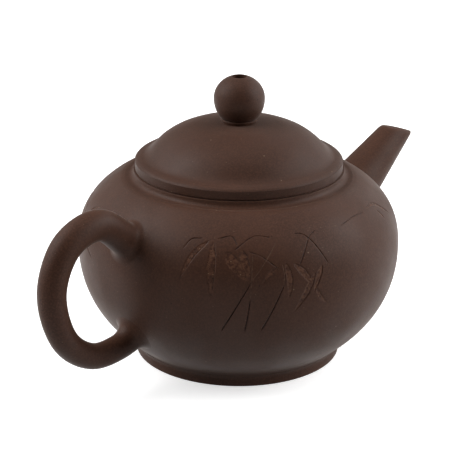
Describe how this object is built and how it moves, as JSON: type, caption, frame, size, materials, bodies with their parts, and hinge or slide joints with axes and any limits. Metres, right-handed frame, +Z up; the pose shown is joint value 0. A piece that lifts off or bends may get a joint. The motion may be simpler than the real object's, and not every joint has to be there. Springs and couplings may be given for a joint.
{
  "type": "yixing clay teapot",
  "caption": "Small round unglazed dark brown clay teapot with a straight spout, an ear-shaped handle and a domed lid with a ball knob that lifts out.",
  "frame": {"origin": "middle of the foot, on the surface the pot stands on", "axes": "+X the way the spout points, -X the handle, +Z up along the lid's axis"},
  "size_m": [0.1321, 0.0816, 0.0723],
  "materials": {
    "pot_clay": "unglazed, fine-grained, burnished matt",
    "lid_clay": "unglazed, fine-grained, burnished matt",
    "inner_clay": "unglazed, unburnished matt"
  },
  "bodies": {
    "pot": {"foot_ring": "pot_clay", "base_disc": "pot_clay", "body_wall": "pot_clay", "shoulder_disc": "pot_clay", "neck_ring": "pot_clay", "spout": "pot_clay", "strainer": "inner_clay", "handle": "pot_clay"},
    "lid": {"lid_rim_ring": "lid_clay", "lid_flange": "inner_clay", "lid_dome": "lid_clay", "knob_collar": "lid_clay", "lid_knob": "lid_clay"}
  },
  "joints": [
    {"name": "lid_lift", "type": "slide", "parent": "pot", "child": "lid", "axis": [0, 0, 1], "range_m": [0, 0.035]}
  ]
}
